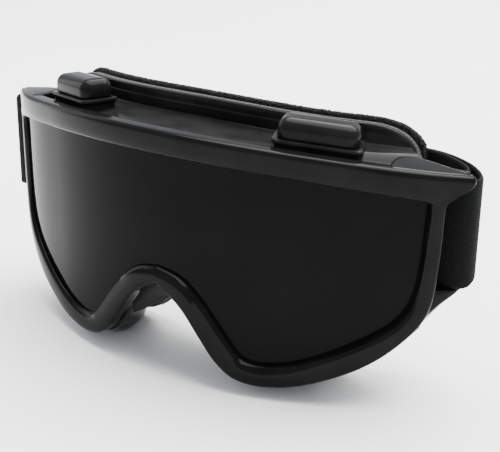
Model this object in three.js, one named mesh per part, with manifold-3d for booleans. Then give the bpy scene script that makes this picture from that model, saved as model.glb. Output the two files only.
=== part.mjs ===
// Ski-style welding goggles with an indirect vent on each side of the roof and an elastic head strap.
// Millimetres, +Z up. X runs across the face, Y from the lens back to the face, and the finished
// group stands on z = 0. Heights in the outlines are measured from the top of the nose arch.
import * as THREE from 'three';
import { mergeVertices } from 'three/addons/utils/BufferGeometryUtils.js';
import Module from 'manifold-3d';

const wasm = await Module();
wasm.setup();

// ---- driving dimensions ----
const FRONT_RADIUS = 123.4; // plan radius at the rim's inner edge, just in front of the bent lens
const ARCH_RADIUS = 507; // front-view radius of the roof and the lip
const FLANGE_ARCH_RADIUS = 1100; // the face flange is flatter
const GAP = 0.3; // clearance between neighbouring pieces

const FRAME_PROUD = 0.8; // the frame stands this far in front of FRONT_RADIUS
const FRAME_THICKNESS = 5.4; // behind FRONT_RADIUS
const LIP_CROWN = 49.1; // top of the front lip at the middle
const OPENING_CROWN = 41.4; // top of the lens opening at the middle
const LIP_THICKNESS = 4.4;
const LENS_THICKNESS = 2.2;
const LENS_SET_BACK = 2.6; // from FRONT_RADIUS back to the front of the lens
const LENS_LAP = 2.5; // lens hidden behind the frame all round

const ROOF_CROWN = 46.4;
const WALL = 3.2;
const SEAT_DEPTH = 3;
const FLANGE_CROWN = 53.8;
const FLANGE_THICKNESS = 2.2;
const FACE_DEPTH_MIDDLE = 27.3; // flange position behind the lens apex, at the middle
const FACE_DEPTH_ADDED = 16; // how much further back the flange lies at its sides
const FACE_HALF_WIDTH = 68;
const FOAM_THICKNESS = 4.4;
const FABRIC_THICKNESS = 1;
const FOAM_HALF_WIDTH = 67;
const FOAM_BAND = 10;
const FOAM_INSET = 0.5; // the foam stops this far inside the flange's edge
const STANDING_DROP = 33; // from the nose datum down to the flat underside of both cheek lobes

const VENT = { x: 45.5, y: 21.4, plateTop: 50.6, yaw: 23.9 };
const VENT_PLATE = { length: 26.2, depth: 11.5, thickness: 1.6, radius: 2 };
const CAP = { length: 22.8, depth: 9.8, height: 6, bevel: 2.2, radius: 3.2, standOff: 0.35, wall: 2.4 };
const CAP_LEG = { width: 1.6, reach: 3.4 };
const PLUG = { length: 17.4, depth: 6, wall: 1.2, radius: 2, boreRadius: 1, below: 1.6 };
const BAFFLE = { slats: 5, slat: 0.8, height: 3, lift: 0.6 };

const STRAP_WIDTH = 34.8;
const STRAP_LOW = 5.4;
const WEBBING = 1.5;
const BAR = { inner: 79, outer: 87.3, y: 39.6, thickness: 2.4, low: 2.6, high: 41 };
const BAND = { y: 57.6, half: 62 };
const STRAP_PATH = [[87.2, 41], [84.9, 45.8], [80.4, 50.6], [75, 54.4], [68.8, 57.2], [61, 58.5]];
const SLIDER = { x: 20, half: 11, bar: 3, thickness: 2, rail: 2 };
const TAIL_START = 24; // where the loose tail leaves the slider
const FRAME_CORNER = 1.5;
const OPENING_CORNER = 4;
const BODY_CORNER = 5;
const FLANGE_CORNER = 9;
const FOAM_CORNER = 8;

const ARCH_STEPS = 12;
const LOWER_STEPS = 26;
const PLAN_STEPS = 22;
const RADIAL_STEPS = 30;
const FAR = 70; // reach of a cutting prism past everything
const FRONT_REACH = 52; // degrees of the front curve on each side of the middle

// ---- outlines ----
const point = (x, y) => new THREE.Vector2(x, y);
const archHeight = (crown, x, radius = ARCH_RADIUS) => crown - (x * x) / (2 * radius);
const smooth = (points, steps) => new THREE.SplineCurve(points.map(([x, y]) => point(x, y))).getPoints(steps);
const mirrorPoints = (half) => half.slice(1, -1).reverse().map((p) => point(-p.x, p.y));
const closeOutline = (half) => [...half, ...mirrorPoints(half)];

// Half outline from the bottom middle, round the cheek and up the side to the middle of the arched top.
function halfOutline(lower, crown, corner, radius) {
  const points = smooth(lower, LOWER_STEPS);
  const side = points[points.length - 1].x;
  const shoulder = point(side - corner, archHeight(crown, side - corner, radius));
  const below = point(side, archHeight(crown, side, radius) - corner);
  const bendPoint = point(side, archHeight(crown, side, radius));
  points.push(...new THREE.QuadraticBezierCurve(below, bendPoint, shoulder).getPoints(5));
  for (let i = 1; i <= ARCH_STEPS; i += 1) {
    const x = shoulder.x * (1 - i / ARCH_STEPS);
    points.push(point(x, archHeight(crown, x, radius)));
  }
  return points;
}

// Moves every point of a closed outline outwards along its normal.
function offsetOutline(points, distance) {
  return points.map((p, i) => {
    const before = points[(i + points.length - 1) % points.length];
    const after = points[(i + 1) % points.length];
    const along = point(after.x - before.x, after.y - before.y).normalize();
    return point(p.x + along.y * distance, p.y - along.x * distance);
  });
}

const OPENING_LOWER = [[0, 4.2], [9, 2], [17, -5], [26.5, -17], [31, -21.5], [38.5, -22.4],
  [50, -20], [64, -13.8], [78, -5], [83.8, 6], [86, 30]];
const FRAME_LOWER = [[0, -1.2], [9, -7], [17, -17.2], [22, -23.6], [28.5, -28.2], [38, -29.3],
  [51, -27], [67, -20.3], [79, -11.5], [87.2, -1], [90, 34]];
const BODY_LOWER = [[0, -2.8], [7.5, -7.5], [13.8, -17.5], [18.5, -24.6], [24, -30.2], [29.5, -33]];
const BODY_CHEEK = [[38.5, -33], [44, -31.6], [50, -28.4], [57.5, -23], [69, -15.5], [77, -8], [80, 2],
  [80.4, 30]];
const FLANGE_LOWER = [[0, -7], [8, -10.6], [14.5, -20.5], [19.5, -28.4], [24.5, -32.2], [29, -33]];
const FLANGE_CHEEK = [[39, -33], [48, -30], [58, -22], [65, -10], [67.6, 4], [68, 24]];
const FOAM_LOWER = [[0, 4], [9, 1], [16, -6], [24, -17], [29.5, -22.6], [34, -24]];
const FOAM_CHEEK = [[38, -24], [45.5, -21.5], [52, -14], [56, -3], [57.8, 10], [58.2, 24]];

const openingFlat = closeOutline(halfOutline(OPENING_LOWER, OPENING_CROWN, OPENING_CORNER));
const frameFlat = closeOutline(halfOutline(FRAME_LOWER, LIP_CROWN, FRAME_CORNER));
const lensFlat = offsetOutline(openingFlat, LENS_LAP);
const rebateFlat = offsetOutline(openingFlat, LENS_LAP + GAP);

// Lobed outline whose two cheeks end in a flat, so that the goggles stand.
function lobedOutline(nose, cheek, crown, corner, radius) {
  const start = smooth(nose, 12);
  return closeOutline([...start, ...halfOutline(cheek, crown, corner, radius)]);
}

const bodyOutline = lobedOutline(BODY_LOWER, BODY_CHEEK, ROOF_CROWN, BODY_CORNER);
const cavityOutline = offsetOutline(bodyOutline, -WALL);
const flangeOutline = lobedOutline(
  FLANGE_LOWER,
  FLANGE_CHEEK,
  FLANGE_CROWN,
  FLANGE_CORNER,
  FLANGE_ARCH_RADIUS,
);
const foamOutline = offsetOutline(flangeOutline, -FOAM_INSET);
const foamTop = FLANGE_CROWN - FOAM_BAND;
const foamOpening = lobedOutline(FOAM_LOWER, FOAM_CHEEK, foamTop, FOAM_CORNER, FLANGE_ARCH_RADIUS);

// ---- solids ----
function solidOf(geometry) {
  const bare = geometry.clone();
  bare.deleteAttribute('normal');
  bare.deleteAttribute('uv');
  const merged = mergeVertices(bare, 1e-4);
  const vertProperties = new Float32Array(merged.attributes.position.array);
  const triVerts = new Uint32Array(merged.index.array);
  return new wasm.Manifold(new wasm.Mesh({ numProp: 3, vertProperties, triVerts }));
}

function geometryOf(solid) {
  const mesh = solid.getMesh();
  const geometry = new THREE.BufferGeometry();
  geometry.setAttribute('position', new THREE.BufferAttribute(mesh.vertProperties, 3));
  geometry.setIndex(new THREE.BufferAttribute(mesh.triVerts, 1));
  geometry.computeVertexNormals();
  return geometry;
}

const extruded = (points, depth, steps = 1) => (
  new THREE.ExtrudeGeometry(new THREE.Shape(points), { depth, steps, bevelEnabled: false })
);

// Front-view outline (x, z) extruded along Y.
function frontPrism(points) {
  const high = 1.5 * FAR;
  const geometry = extruded(points, FAR + high);
  geometry.rotateX(Math.PI / 2);
  geometry.translate(0, high, 0);
  return solidOf(geometry);
}

// Outline on the unrolled lens (distance round the front, height) cut square through the bent front:
// its walls run along radii of the front curve.
function radialPrism(points) {
  const inner = 20; // the walls start this far from the centre of the front curve
  const geometry = extruded(points, 1.5 * FRONT_RADIUS - inner, RADIAL_STEPS);
  const position = geometry.attributes.position;
  for (let i = 0; i < position.count; i += 1) {
    const angle = position.getX(i) / FRONT_RADIUS;
    const radius = inner + position.getZ(i);
    position.setXYZ(i, radius * Math.sin(angle), FRONT_RADIUS - radius * Math.cos(angle), position.getY(i));
  }
  return solidOf(geometry);
}

// Plan outline (x, y) extruded along Z.
function planPrism(points, low = -FAR, high = FAR) {
  const geometry = extruded(points, high - low);
  geometry.translate(0, 0, low);
  return solidOf(geometry);
}

// Box from its lowest corner and its size.
function box(x, y, z, width, depth, height) {
  const geometry = new THREE.BoxGeometry(width, depth, height);
  geometry.translate(x + width / 2, y + depth / 2, z + height / 2);
  return solidOf(geometry);
}

// Plan arc at a depth behind the front surface, from -X to +X.
function frontArc(depth) {
  const radius = FRONT_RADIUS - depth;
  const points = [];
  for (let i = -PLAN_STEPS; i <= PLAN_STEPS; i += 1) {
    const angle = THREE.MathUtils.degToRad((FRONT_REACH * i) / PLAN_STEPS);
    points.push(point(radius * Math.sin(angle), FRONT_RADIUS - radius * Math.cos(angle)));
  }
  return points;
}

// Curved slab between two depths behind the front surface.
const frontShell = (near, far) => planPrism([...frontArc(near), ...frontArc(far).reverse()]);

// Plan curve of the face flange, shifted back by a distance, from -X to +X.
function faceCurve(shift, reach = 1.1 * FACE_HALF_WIDTH) {
  const points = [];
  for (let i = -PLAN_STEPS; i <= PLAN_STEPS; i += 1) {
    const x = (reach * i) / PLAN_STEPS;
    const back = FACE_DEPTH_ADDED * Math.abs(x / FACE_HALF_WIDTH) ** 3;
    points.push(point(x, FACE_DEPTH_MIDDLE + back + shift));
  }
  return points;
}

const faceSlab = (near, far, reach) => (
  planPrism([...faceCurve(near, reach), ...faceCurve(far, reach).reverse()])
);
const ring = (outer, inner) => frontPrism(outer).subtract(frontPrism(inner));

// ---- front frame: rim, lip, the two wings and the strap bars ----
// Flat wing that carries on from the lip at one side, seen from above.
function wingPlan() {
  const front = frontArc(-FRAME_PROUD).filter((p) => p.x > 65 && p.x < 84);
  const tip = new THREE.QuadraticBezierCurve(point(86.5, 33), point(90.6, 35), point(90, 38)).getPoints(4);
  const rear = [point(88.6, 39.6), point(80, 39.6), point(73, 37.8), point(67.5, 33), point(65.4, 28)];
  return [...front, ...tip, ...rear];
}

// Front view of the wing: the arched top and the hollow curve of its underside.
function wingFace() {
  const top = [point(64, archHeight(LIP_CROWN, 64)), point(77, archHeight(LIP_CROWN, 77)), point(92, 40.7)];
  const under = [point(91, 39.6), point(86, 36.3), point(83, 33.8)];
  const inner = [point(81, 32), point(81, 41.2), point(72, 42.5), point(64, 43.3)];
  return [...top, ...under, ...inner];
}

// Lower gusset that carries the foot of the strap bar.
const GUSSET_FACE = [[76, -9], [79, -4.4], [82.2, 0.2], [86.6, 4.2], [86.6, 5], [76, 5]];
const GUSSET_PLAN = [[76, 29], [81, 30.6], [86, 34.6], [88.6, 38.8], [88, 40.8], [80, 40.8], [76, 37]];

function strapBar() {
  const length = BAR.outer - BAR.inner;
  return box(BAR.inner, BAR.y - BAR.thickness / 2, BAR.low, length, BAR.thickness, BAR.high - BAR.low);
}

// Box round the strap bar where the webbing turns.
function loopRoom() {
  const side = 3.4;
  const front = 4.2;
  return box(BAR.inner - side, BAR.y - front, 0, 20, 20, STRAP_LOW + STRAP_WIDTH + GAP);
}

// Room kept clear of the gusset for the body behind the frame and the lens in its rebate.
function gussetClearance() {
  const behind = planPrism(bodyPlan(-GAP)).intersect(frontShell(FRAME_THICKNESS, 0.5 * FRONT_RADIUS));
  return behind.add(radialPrism(rebateFlat));
}

function wing() {
  const top = planPrism(wingPlan()).intersect(frontPrism(wingFace()));
  const gusset = planPrism(GUSSET_PLAN.map(([x, y]) => point(x, y)))
    .intersect(frontPrism(GUSSET_FACE.map(([x, z]) => point(x, z))))
    .subtract(gussetClearance());
  return top.subtract(loopRoom()).add(gusset).add(strapBar());
}

function mirrored(solid) {
  const geometry = geometryOf(solid);
  geometry.scale(-1, 1, 1);
  const index = geometry.index.array;
  for (let i = 0; i < index.length; i += 3) {
    [index[i], index[i + 1]] = [index[i + 1], index[i]];
  }
  return solidOf(geometry);
}

function frontFrame() {
  const outline = radialPrism(frameFlat).subtract(radialPrism(openingFlat));
  const rim = outline.intersect(frontShell(-FRAME_PROUD, FRAME_THICKNESS));
  const rebate = radialPrism(rebateFlat).intersect(frontShell(LENS_SET_BACK - GAP, FRAME_THICKNESS + 1));
  const aboveRoof = [point(-FAR, FAR)];
  for (let i = -ARCH_STEPS; i <= ARCH_STEPS; i += 1) {
    const x = (FAR * i) / ARCH_STEPS;
    aboveRoof.push(point(x, archHeight(ROOF_CROWN, x)));
  }
  aboveRoof.push(point(FAR, FAR));
  const step = frontPrism(aboveRoof).intersect(frontShell(LIP_THICKNESS, FRAME_THICKNESS + 1));
  const right = wing();
  return rim.subtract(rebate).subtract(step).add(right).add(mirrored(right));
}

const lens = () => radialPrism(lensFlat).intersect(frontShell(LENS_SET_BACK, LENS_SET_BACK + LENS_THICKNESS));

// ---- face body: roof, floor, side walls and the flange that carries the foam ----
const bodyPlan = (inset) => {
  const side = [[77.4, 24], [76.6, 35], [66, 46], [66, 60]].map(([x, y]) => point(x - inset, y));
  return [point(60, -5), ...side, ...side.map((p) => point(-p.x, p.y)).reverse(), point(-60, -5)];
};

function faceBody() {
  const front = FRAME_THICKNESS + GAP;
  const outer = frontPrism(bodyOutline).intersect(planPrism(bodyPlan(0)));
  const cavity = frontPrism(cavityOutline).intersect(planPrism(bodyPlan(WALL)));
  const depth = planPrism([...frontArc(front), ...faceCurve(FLANGE_THICKNESS).reverse()]);
  const seat = frontPrism(bodyOutline).subtract(radialPrism(openingFlat))
    .intersect(frontShell(front, front + SEAT_DEPTH))
    .intersect(planPrism(bodyPlan(0)));
  const flange = frontPrism(flangeOutline).subtract(cavity).intersect(faceSlab(0, FLANGE_THICKNESS));
  let body = outer.subtract(cavity).intersect(depth).add(seat).add(flange);
  for (const side of [-1, 1]) {
    const plugHole = new THREE.BoxGeometry(PLUG.length + 2 * GAP, PLUG.depth + 2 * GAP, 0.5 * FAR);
    plugHole.applyMatrix4(ventGroup(side).matrix);
    body = body.subtract(solidOf(plugHole));
    body = body.subtract(side > 0 ? wingClearance() : mirrored(wingClearance()));
  }
  return body;
}

// Room for the wing where it lies over the edge of the roof.
function wingClearance() {
  const face = [[60, 60], [95, 60], [95, 30.6], [80.7, 30.6], [80.7, 40.9], [72, 42.2], [60, 43]];
  return planPrism(wingPlan()).intersect(frontPrism(face.map(([x, z]) => point(x, z))));
}

// ---- face cushion ----
const foamFront = FLANGE_THICKNESS + GAP;
const cushion = (near, thickness) => ring(foamOutline, foamOpening)
  .intersect(faceSlab(near, near + thickness, FOAM_HALF_WIDTH));
const faceFoam = () => cushion(foamFront, FOAM_THICKNESS);
const faceFabric = () => cushion(foamFront + FOAM_THICKNESS + GAP, FABRIC_THICKNESS);

// ---- roof vents ----
function ventGroup(side) {
  const group = new THREE.Group();
  group.position.set(side * VENT.x, VENT.y, archHeight(VENT.plateTop, VENT.x));
  group.rotation.order = 'ZYX';
  group.rotation.z = side * THREE.MathUtils.degToRad(VENT.yaw);
  group.rotation.y = side * Math.asin(VENT.x / ARCH_RADIUS);
  group.updateMatrix();
  return group;
}

function roundedSlab(length, depth, radius, low, high, bevel = 0) {
  const x = length / 2 - bevel;
  const y = depth / 2 - bevel;
  const r = Math.max(radius - bevel, 0.2);
  const shape = new THREE.Shape();
  shape.moveTo(-x + r, -y);
  shape.lineTo(x - r, -y);
  shape.absarc(x - r, -y + r, r, -Math.PI / 2, 0);
  shape.absarc(x - r, y - r, r, 0, Math.PI / 2);
  shape.absarc(-x + r, y - r, r, Math.PI / 2, Math.PI);
  shape.absarc(-x + r, -y + r, r, Math.PI, 1.5 * Math.PI);
  const settings = { depth: high - low - 2 * bevel, curveSegments: 4, bevelEnabled: bevel > 0 };
  Object.assign(settings, { bevelSize: bevel, bevelThickness: bevel, bevelSegments: 3 });
  const geometry = new THREE.ExtrudeGeometry(shape, settings);
  geometry.translate(0, 0, low + bevel);
  return solidOf(geometry);
}

const plugDrop = VENT.plateTop - ROOF_CROWN + WALL + PLUG.below;

function ventBase() {
  const { length, depth, thickness, radius } = VENT_PLATE;
  const plate = roundedSlab(length, depth, radius, -thickness, 0);
  const plug = roundedSlab(PLUG.length, PLUG.depth, PLUG.radius, -plugDrop, -thickness / 2);
  const boreLength = PLUG.length - 2 * PLUG.wall;
  const boreDepth = PLUG.depth - 2 * PLUG.wall;
  const bore = roundedSlab(boreLength, boreDepth, PLUG.boreRadius, -plugDrop - 1, 1);
  return plate.add(plug).subtract(bore);
}

function ventCap() {
  const low = CAP.standOff;
  const high = low + CAP.height;
  const shell = roundedSlab(CAP.length, CAP.depth, CAP.radius, low, high, CAP.bevel);
  const room = [CAP.length - 2 * CAP.wall, CAP.depth - 2 * CAP.wall];
  const hollow = roundedSlab(...room, CAP.radius - CAP.wall, low - 1, high - CAP.wall);
  const depth = PLUG.depth - 2 * PLUG.wall - 2 * GAP;
  const height = CAP_LEG.reach + high - CAP.wall / 2;
  const legs = [-1, 1].map((end) => {
    const x = end * (PLUG.length / 2 - PLUG.wall - GAP - CAP_LEG.width / 2);
    return box(x - CAP_LEG.width / 2, -depth / 2, -CAP_LEG.reach, CAP_LEG.width, depth, height);
  });
  return shell.subtract(hollow).add(legs[0]).add(legs[1]);
}

// Light baffle: a ladder of slats that lets air past but gives light no straight way in.
function ventBaffle() {
  const length = PLUG.length - 2 * PLUG.wall - 2 * GAP;
  const width = PLUG.depth - 2 * PLUG.wall - 2 * GAP;
  const low = -plugDrop + BAFFLE.lift;
  let baffle = box(-length / 2, -width / 2, low, length, BAFFLE.slat, BAFFLE.height);
  for (let i = 0; i < BAFFLE.slats; i += 1) {
    const x = -length / 2 + ((length - BAFFLE.slat) * i) / (BAFFLE.slats - 1);
    baffle = baffle.add(box(x, -width / 2, low, BAFFLE.slat, width, BAFFLE.height));
  }
  return baffle;
}

// ---- strap ----
// Band of even thickness along a plan path.
function ribbon(points, thickness) {
  const sides = [1, -1].map((sign) => points.map((p, i) => {
    const before = points[Math.max(i - 1, 0)];
    const after = points[Math.min(i + 1, points.length - 1)];
    const along = point(after.x - before.x, after.y - before.y).normalize();
    return point(p.x - (sign * along.y * thickness) / 2, p.y + (sign * along.x * thickness) / 2);
  }));
  return [...sides[0], ...sides[1].reverse()];
}

const strapPrism = (points) => planPrism(points, STRAP_LOW, STRAP_LOW + STRAP_WIDTH);

// Loop of webbing round one strap bar, and the two layers that run back behind the face cushion.
function strapEnd() {
  const loopLine = (grow) => {
    const radius = BAR.thickness / 2 + GAP + grow;
    const shape = new THREE.Shape();
    const outer = BAR.outer - BAR.thickness / 2;
    const inner = BAR.inner + BAR.thickness / 2;
    shape.absarc(outer, BAR.y, radius, -Math.PI / 2, Math.PI / 2);
    shape.absarc(inner, BAR.y, radius, Math.PI / 2, 1.5 * Math.PI);
    return shape.getPoints(6);
  };
  const room = BAR.thickness / 4;
  const loop = strapPrism(loopLine(WEBBING + room)).subtract(planPrism(loopLine(room)));
  const layers = strapPrism(ribbon(smooth(STRAP_PATH, 12), 2 * WEBBING + GAP));
  const beyond = box(0, BAR.y - 10, -FAR, BAND.half + GAP, FAR, 2 * FAR);
  return loop.add(layers.subtract(planPrism(loopLine(room))).subtract(beyond));
}

const band = (low, high, near) => box(low, near, STRAP_LOW, high - low, WEBBING, STRAP_WIDTH);
const strapBand = () => band(-BAND.half, BAND.half, BAND.y - WEBBING / 2);
const strapTail = () => band(TAIL_START, BAND.half, BAND.y + WEBBING / 2 + GAP);

// Three-bar slider: the outer bars lie in front of the webbing and the middle bar behind it.
function strapSlider() {
  const near = BAND.y - WEBBING / 2 - GAP - SLIDER.thickness;
  const far = BAND.y + 1.5 * WEBBING + 2 * GAP;
  const low = STRAP_LOW - GAP - SLIDER.rail;
  const height = STRAP_WIDTH + 2 * (GAP + SLIDER.rail);
  const start = SLIDER.x - SLIDER.half;
  const width = 2 * SLIDER.half;
  const depth = far + SLIDER.thickness - near;
  let slider = box(start, near, low, width, depth, SLIDER.rail);
  slider = slider.add(box(start, near, low + height - SLIDER.rail, width, depth, SLIDER.rail));
  for (const x of [start, start + width - SLIDER.bar]) {
    slider = slider.add(box(x, near, low, SLIDER.bar, SLIDER.thickness, height));
  }
  return slider.add(box(SLIDER.x - SLIDER.bar / 2, far, low, SLIDER.bar, SLIDER.thickness, height));
}

// ---- materials ----
const finish = (color, roughness) => new THREE.MeshStandardMaterial({ color, roughness });
const glossPlastic = () => finish(0x0c0c0d, 0.16);
const bodyPlastic = () => finish(0x0d0d0e, 0.2);
const ventPlastic = () => finish(0x17181a, 0.38);
const bafflePlastic = () => finish(0x141414, 0.5);
const darkLens = () => finish(0x121315, 0.05);
const foamRubber = () => finish(0x1a1a1a, 0.95);
const fleece = () => finish(0x1d1d1c, 1);
const webbing = () => finish(0x111214, 0.9);

function named(name, solid, material) {
  const mesh = new THREE.Mesh(geometryOf(solid), material);
  mesh.name = name;
  return mesh;
}

// ---- assembly ----
const goggles = new THREE.Group();
goggles.add(named('front_frame', frontFrame(), glossPlastic()));
goggles.add(named('lens', lens(), darkLens()));
goggles.add(named('face_body', faceBody(), bodyPlastic()));
goggles.add(named('face_foam', faceFoam(), foamRubber()));
goggles.add(named('face_fabric', faceFabric(), fleece()));
for (const side of [-1, 1]) {
  const label = side > 0 ? 'right' : 'left';
  const vent = ventGroup(side);
  vent.add(named(`vent_base_${label}`, ventBase(), ventPlastic()));
  vent.add(named(`vent_cap_${label}`, ventCap(), ventPlastic()));
  vent.add(named(`vent_baffle_${label}`, ventBaffle(), bafflePlastic()));
  goggles.add(vent);
  const end = side > 0 ? strapEnd() : mirrored(strapEnd());
  goggles.add(named(`strap_end_${label}`, end, webbing()));
}
goggles.add(named('strap_band', strapBand(), webbing()));
goggles.add(named('strap_tail', strapTail(), webbing()));
goggles.add(named('strap_slider', strapSlider(), ventPlastic()));

// Stand the goggles on z = 0, centred over the origin.
const extent = new THREE.Box3().setFromObject(goggles, true);
const middle = extent.getCenter(new THREE.Vector3());
goggles.position.set(0, -middle.y, STANDING_DROP);

export default goggles;
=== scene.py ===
"""Black ski-type welding goggles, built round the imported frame.

Outlines are in millimetres in the goggles' own frame: s runs round the bent front from its middle,
z up from near the top of the nose arch, d back from the front surface, and x, y are the plan view
from the front of the lens. world() places them in the scene in metres.
"""

import math

import bmesh
import bpy
import numpy as np
from mathutils import Matrix, Vector

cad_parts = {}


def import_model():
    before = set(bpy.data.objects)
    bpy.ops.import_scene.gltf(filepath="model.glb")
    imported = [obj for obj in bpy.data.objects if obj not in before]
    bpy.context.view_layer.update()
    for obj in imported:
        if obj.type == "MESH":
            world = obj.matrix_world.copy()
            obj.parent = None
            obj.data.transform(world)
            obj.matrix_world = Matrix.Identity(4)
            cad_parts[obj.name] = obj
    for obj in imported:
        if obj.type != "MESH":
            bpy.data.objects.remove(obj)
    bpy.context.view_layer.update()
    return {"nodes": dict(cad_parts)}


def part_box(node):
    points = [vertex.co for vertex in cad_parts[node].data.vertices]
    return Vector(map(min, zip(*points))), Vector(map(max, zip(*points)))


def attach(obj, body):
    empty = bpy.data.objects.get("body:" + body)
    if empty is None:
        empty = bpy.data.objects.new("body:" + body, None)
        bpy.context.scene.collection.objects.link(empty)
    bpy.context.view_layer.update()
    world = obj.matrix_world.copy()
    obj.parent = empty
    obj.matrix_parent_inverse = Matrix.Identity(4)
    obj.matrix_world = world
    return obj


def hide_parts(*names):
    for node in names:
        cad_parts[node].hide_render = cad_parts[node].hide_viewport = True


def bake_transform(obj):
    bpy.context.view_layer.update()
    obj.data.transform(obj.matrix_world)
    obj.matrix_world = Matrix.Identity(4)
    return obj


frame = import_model()

MM = 0.001

# ---- driving sizes ----
FRONT_RADIUS = 123.4
SIDE_START = 52.0
SIDE_FORWARD = 1.3  # from SIDE_START outwards the front bends a little less than a true arc
FRAME_PROUD = 0.8  # the rim's face stands this far in front of the front surface
FRAME_DEPTH = 5.4
OPENING_SIDE = 86.0  # s of the window's upright sides
NOSE_SINK = 1.1  # the rim's inner edge dips towards the pane over the nose
LENS_DEPTH = 2.0
LENS_SKEW = 1.1  # the pane sits closer to the front on the left than on the right
LENS_THICKNESS = 2.2
BODY_FRONT = 5.7
BODY_SIDE = 80.4  # half width of the body's outline, before narrowed() leans its sides in
BODY_SIDE_FRONT = 76.9
BODY_SIDE_REAR = 66.4
WALL_LEAN_FROM = 56.0
WALL = 3.2
STANDING_DROP = 33.0  # the goggles stand on the cheeks, this far below z 0
FLOOR_RISE = 3.0  # the cheeks' floor climbs this much from its lowest line to the frame
LIP_CROWN = 49.1
ROOF_CROWN = 46.4
OPENING_CROWN = 41.4
FLANGE_CROWN = 53.8
ARCH_RADIUS = 507.0
FLANGE_ARCH_RADIUS = 1100.0
REAR_ARCH_RADIUS = 1540.0
FLANGE_THICKNESS = 2.2
FACE_DEPTH_MIDDLE = 27.3
FACE_DEPTH_ADDED = 16.0
FACE_HALF_WIDTH = 68.0
STRAP_LOW = 5.4
STRAP_WIDTH = 34.8
STRAP_TOP = STRAP_LOW + STRAP_WIDTH
STRAP_GAP = 0.15
STRAP_MIDDLE = 22.0
WEBBING = 1.5
BAND_Y = 57.6  # the strap's run behind the head
BAND_END = 61.6

# The frame's foremost point and the body's lowest tie the goggles' own frame to the scene.
ORIGIN_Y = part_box("front_frame")[0][1] / MM + FRAME_PROUD
ORIGIN_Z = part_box("face_body")[0][2] / MM + STANDING_DROP
noise_rng = np.random.default_rng(7)


# ---- placing points ----
def world(points):
    """Goggles millimetres (..., 3) to scene metres."""
    placed = np.array(points, dtype=float)
    placed[..., 1] += ORIGIN_Y
    placed[..., 2] += ORIGIN_Z
    return placed * MM


def smoothstep(value, low, high):
    """0 up to low, 1 from high, with a smooth turn between."""
    t = np.clip((np.asarray(value, dtype=float) - low) / (high - low), 0.0, 1.0)
    return t * t * (3.0 - 2.0 * t)


def mixed(a, b, share):
    """Point or row that lies a share of the way from a to b."""
    return a + (b - a) * share


def squared(value, power):
    """Pushes a sine or cosine out towards 1 or -1, which squares up a round section."""
    return math.copysign(abs(value) ** power, value)


def front_point(s, z, d):
    """Point on the bent front: s round it, z up, d back along its radius."""
    s, z, d = np.broadcast_arrays(np.asarray(s, float), np.asarray(z, float), np.asarray(d, float))
    angle = s / FRONT_RADIUS
    radius = FRONT_RADIUS - d + SIDE_FORWARD * smoothstep(np.abs(s), SIDE_START, OPENING_SIDE)
    return np.stack([radius * np.sin(angle), FRONT_RADIUS - radius * np.cos(angle), z], axis=-1)


def pane_depth(s):
    """Depth of the pane's front face behind the front surface."""
    return LENS_DEPTH + LENS_SKEW * np.asarray(s, float) / OPENING_SIDE


def face_y(x):
    """Plan curve of the face flange."""
    return FACE_DEPTH_MIDDLE + FACE_DEPTH_ADDED * np.abs(np.asarray(x) / FACE_HALF_WIDTH) ** 3


def arch(crown, x, radius=ARCH_RADIUS):
    """Height at x of an arch with its top at crown."""
    return crown - np.asarray(x, float) ** 2 / (2.0 * radius)


# ---- lines ----
def catmull(points, count):
    """Smooth curve through points, evenly spread over their number."""
    pts = np.array(points, float)
    last = len(pts) - 1
    out = []
    for k in range(count + 1):
        place = last * k / count
        i = min(int(place), last - 1)
        w = place - i
        start = pts[i]
        end = pts[i + 1]
        speed_start = (end - pts[max(i - 1, 0)]) * 0.5
        speed_end = (pts[min(i + 2, last)] - start) * 0.5
        cubic = 2 * start - 2 * end + speed_start + speed_end
        square = -3 * start + 3 * end - 2 * speed_start - speed_end
        out.append(cubic * w ** 3 + square * w ** 2 + speed_start * w + start)
    return np.array(out)


def travelled(points):
    """Length of a line up to each of its points."""
    return np.r_[0.0, np.cumsum(np.linalg.norm(np.diff(points, axis=0), axis=1))]


def even(points, count):
    """The same line with its points evenly spaced."""
    pts = np.array(points, float)
    length = travelled(pts)
    at = np.linspace(0.0, length[-1], count + 1)
    return np.stack([np.interp(at, length, pts[:, k]) for k in range(pts.shape[1])], axis=1)


def split_even(points, keys, counts):
    """Cuts a line at the points nearest to keys and spaces each stretch evenly."""
    pts = np.array(points, float)
    cuts = [0]
    for key in keys:
        cuts.append(int(np.argmin(np.linalg.norm(pts - np.array(key), axis=1))))
    cuts.append(len(pts) - 1)
    parts = []
    for a, b, count in zip(cuts[:-1], cuts[1:], counts):
        part = even(pts[a:b + 1], count)
        parts.append(part if not parts else part[1:])
    return np.concatenate(parts)


def both_sides(half):
    """Closes a right-hand half outline, bottom middle to top middle, with its mirror image."""
    left = half[1:-1][::-1] * np.array([-1.0, 1.0])
    return np.concatenate([half, left])


def rounded(a, corner, b, steps=10):
    """Round corner from a to b that leans towards the corner point."""
    a, corner, b = (np.array(p, float) for p in (a, corner, b))
    t = np.linspace(0, 1, steps + 1)[:, None]
    return (1 - t) ** 2 * a + 2 * (1 - t) * t * corner + t * t * b


def arch_line(crown, x_from, radius=ARCH_RADIUS, steps=60):
    """Arch from x_from to the middle."""
    x = np.linspace(x_from, 0.0, steps + 1)
    return np.stack([x, arch(crown, x, radius)], axis=1)


def offset_closed(loop, distance):
    """Moves a closed outline outwards."""
    along = np.roll(loop, -1, axis=0) - np.roll(loop, 1, axis=0)
    along /= np.linalg.norm(along, axis=1)[:, None]
    return loop + np.stack([along[:, 1], -along[:, 0]], axis=1) * distance


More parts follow.
